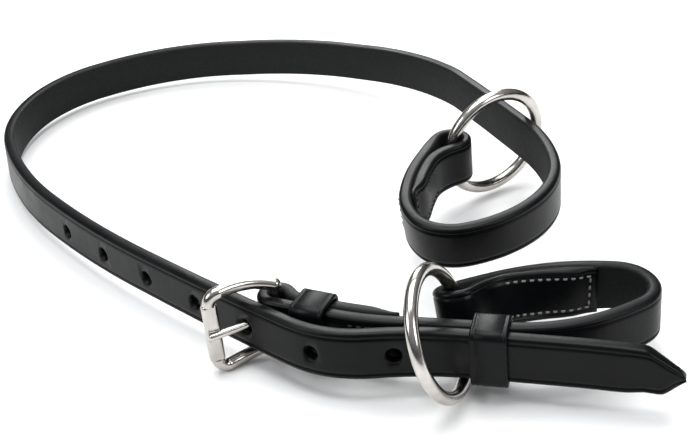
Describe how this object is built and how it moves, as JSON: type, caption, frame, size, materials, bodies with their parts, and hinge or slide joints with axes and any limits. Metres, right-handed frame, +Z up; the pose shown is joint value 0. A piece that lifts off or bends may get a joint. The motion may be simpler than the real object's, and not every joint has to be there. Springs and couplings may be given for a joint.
{
  "type": "martingale strap",
  "caption": "Adjustable leather strap with a buckle, keepers and a ring at each end that forms a slip loop.",
  "frame": {"origin": "under the middle of the whole object's bounding box, on the ground plane", "axes": "+Z up; the straps stand on edge on the XY plane; the tail's point faces +X and the neck loop lies towards -X and +Y"},
  "size_m": [0.2264, 0.2624, 0.044],
  "materials": {
    "strap_leather": "black bridle leather, waxed smooth side, matte flesh side",
    "keeper_leather": "black bridle leather, smooth",
    "bright_metal": "polished nickel plate on steel",
    "thread": "waxed dark grey sewing thread"
  },
  "bodies": {
    "straps": {"long_strap": "strap_leather", "short_strap": "strap_leather", "fixed_keeper": "keeper_leather", "thread_buckle_end_lower": "thread", "thread_buckle_end_upper": "thread", "thread_long_loop_end": "thread", "thread_long_loop_lower": "thread", "thread_long_loop_upper": "thread", "thread_short_loop_end": "thread", "thread_short_loop_lower": "thread", "thread_short_loop_upper": "thread"},
    "frame": {"buckle_frame": "bright_metal"},
    "prong": {"buckle_prong": "bright_metal"},
    "rear_ring": {"ring_long_strap": "bright_metal"},
    "front_ring": {"ring_short_strap": "bright_metal"},
    "slide_keeper": {"running_keeper": "keeper_leather"}
  },
  "joints": [
    {"name": "buckle_frame_pivot", "type": "hinge", "parent": "straps", "child": "frame", "pos_m": [-0.00228, -0.07926, 0.0155], "axis": [0, 0, 1], "range_deg": [-18, 0]},
    {"name": "buckle_prong_pivot", "type": "hinge", "parent": "straps", "child": "prong", "pos_m": [-0.00228, -0.07926, 0.0155], "axis": [0, 0, 1], "range_deg": [0, 6]},
    {"name": "rear_ring_swing", "type": "hinge", "parent": "straps", "child": "rear_ring", "pos_m": [0.06141, -0.00579, 0.0228], "axis": [0.0357, -0.1085, 0.9935], "range_deg": [-12, 5]},
    {"name": "front_ring_swing", "type": "hinge", "parent": "straps", "child": "front_ring", "pos_m": [0.05278, -0.09232, 0.01767], "axis": [-0.1903, 0.3578, 0.9142], "range_deg": [-10, 2]},
    {"name": "running_keeper_slide", "type": "slide", "parent": "straps", "child": "slide_keeper", "axis": [0.9563, -0.2924, 0], "range_m": [-0.0003, 0.0045]}
  ]
}
